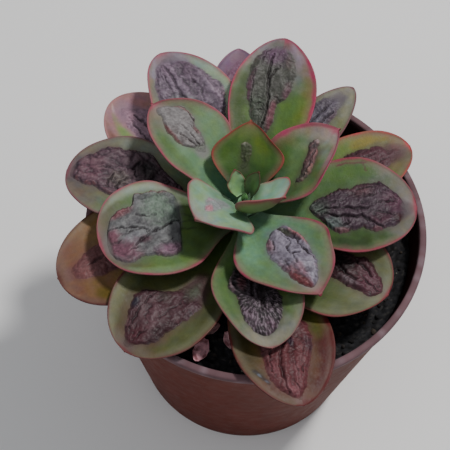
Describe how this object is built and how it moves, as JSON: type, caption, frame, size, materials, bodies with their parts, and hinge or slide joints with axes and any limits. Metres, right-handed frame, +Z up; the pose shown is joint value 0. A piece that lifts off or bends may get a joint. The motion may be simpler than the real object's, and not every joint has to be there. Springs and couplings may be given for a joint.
{
  "type": "potted echeveria",
  "caption": "Succulent rosette of broad leaves with warty raised growths, on a short stem in a round tapered pot filled with soil.",
  "frame": {"origin": "centre of the underside of the pot's base, in the plane on which the pot stands", "axes": "+Z up through the pot's mouth; +X to the right and +Y away from the viewer, as the picture shows the plant"},
  "size_m": [0.16, 0.1691, 0.1601],
  "materials": {
    "pot": "matte moulded plastic, brown-pink",
    "soil": "matte, damp dark potting mix of peat and bark, rough and crumbly",
    "stem": "smooth living plant stem with faint scars",
    "leaf": "firm succulent leaf, waxy, grey-green with a red margin",
    "heart_leaf": "young succulent leaf, waxy, pale mint green with a pink margin",
    "growth": "matte, warty raised growth, purple-brown and furrowed",
    "pale_growth": "matte, warty raised growth, greyish lilac and furrowed",
    "dry_leaf": "dry shed leaf, curled, pinkish brown"
  },
  "bodies": {
    "root": {"pot": "pot", "soil": "soil", "stem": "stem", "leaf_01": "heart_leaf", "leaf_02": "heart_leaf", "leaf_03": "heart_leaf", "leaf_04": "heart_leaf", "leaf_05": "leaf", "leaf_06": "leaf", "leaf_07": "leaf", "leaf_08": "leaf", "leaf_09": "leaf", "leaf_10": "leaf", "leaf_11": "leaf", "leaf_12": "leaf", "leaf_13": "leaf", "leaf_14": "leaf", "leaf_15": "leaf", "leaf_16": "leaf", "leaf_17": "leaf", "leaf_18": "leaf", "leaf_19": "leaf", "leaf_20": "leaf", "leaf_21": "leaf", "leaf_22": "leaf", "growth_04": "pale_growth", "growth_05": "growth", "growth_06": "growth", "growth_07": "pale_growth", "growth_08": "pale_growth", "growth_09": "pale_growth", "growth_10": "growth", "growth_11": "growth", "growth_12": "growth", "growth_13": "growth", "growth_14": "growth", "growth_15": "growth", "growth_16": "growth", "growth_17": "growth", "growth_18": "growth", "growth_19": "growth", "growth_20": "growth", "growth_21": "growth", "growth_22": "growth", "bud": "heart_leaf", "shed_leaf_1": "dry_leaf", "shed_leaf_2": "dry_leaf", "shed_leaf_3": "dry_leaf"}
  },
  "joints": []
}
